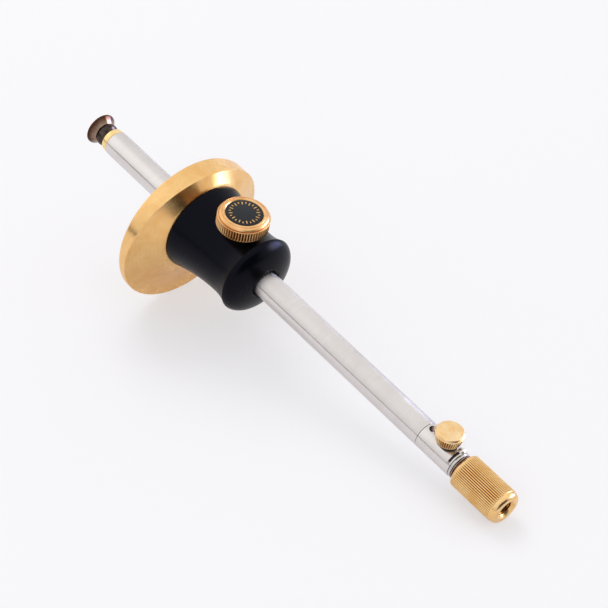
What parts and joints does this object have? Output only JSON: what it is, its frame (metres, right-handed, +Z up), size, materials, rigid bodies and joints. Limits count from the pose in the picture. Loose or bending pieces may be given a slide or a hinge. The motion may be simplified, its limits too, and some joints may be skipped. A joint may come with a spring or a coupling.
{
  "type": "wheel marking gauge",
  "caption": "Wheel marking gauge with an off-centre round fence, a sliding clamped stock and a screw-adjusted cutter rod inside a hollow beam.",
  "frame": {"origin": "centre of the footprint, on the plane that the gauge lies on", "axes": "+X from the cutter wheel towards the tail knob, +Z up out of the plane; the beam lies in the XZ plane, raised at the cutter end by 10.91 degrees"},
  "size_m": [0.209, 0.0572, 0.0565],
  "materials": {
    "satin_steel": "satin turned",
    "brass": "satin turned",
    "black_aluminium": "black anodised satin",
    "tempered_steel": "dark brown tempered",
    "black_rubber": "matt",
    "black_inlay": "satin black",
    "black_washer": "matt"
  },
  "bodies": {
    "beam": {"beam_tube": "satin_steel", "guide_ring": "brass", "tail_sleeve": "satin_steel", "retaining_key": "satin_steel", "wave_washer": "satin_steel", "thrust_ring_front": "tempered_steel", "thrust_ring_rear": "tempered_steel"},
    "stock": {"stock_body": "black_aluminium", "fence_disc": "brass", "fence_screw_left": "satin_steel", "fence_screw_right": "satin_steel", "stock_oring_front": "black_rubber", "stock_oring_rear": "black_rubber", "lock_shoe": "brass"},
    "lock_screw": {"lock_knob": "brass", "lock_knob_inlay": "black_inlay", "lock_stud": "satin_steel"},
    "rod": {"inner_rod": "satin_steel", "cutter_wheel": "tempered_steel", "cutter_collar": "tempered_steel", "cutter_screw": "satin_steel"},
    "thumb": {"thumb_screw": "brass", "thumb_washer": "black_washer"},
    "knob": {"adjust_knob": "brass"}
  },
  "joints": [
    {"name": "stock_slide", "type": "slide", "parent": "beam", "child": "stock", "axis": [-0.9819, 0, 0.1892], "range_m": [-0.077, 0.05]},
    {"name": "lock_knob_turn", "type": "hinge", "parent": "stock", "child": "lock_screw", "pos_m": [-0.02409, 0, 0.04536], "axis": [0.1892, 0, 0.9819], "range_deg": [0, 360]},
    {"name": "tail_knob_turn", "type": "hinge", "parent": "beam", "child": "knob", "pos_m": [0.09401, 0, 0.00742], "axis": [0.9819, 0, -0.1892], "range_deg": [0, 3060]},
    {"name": "rod_slide", "type": "slide", "parent": "beam", "child": "rod", "axis": [-0.9819, 0, 0.1892], "range_m": [0, 0.006]},
    {"name": "thumb_screw_turn", "type": "hinge", "parent": "rod", "child": "thumb", "pos_m": [0.07665, 0, 0.01585], "axis": [0.1892, 0, 0.9819], "range_deg": [0, 360]}
  ],
  "couplings": [
    {"joint": "rod_slide", "follows": "tail_knob_turn", "m_per_rad": 0.00011141}
  ]
}
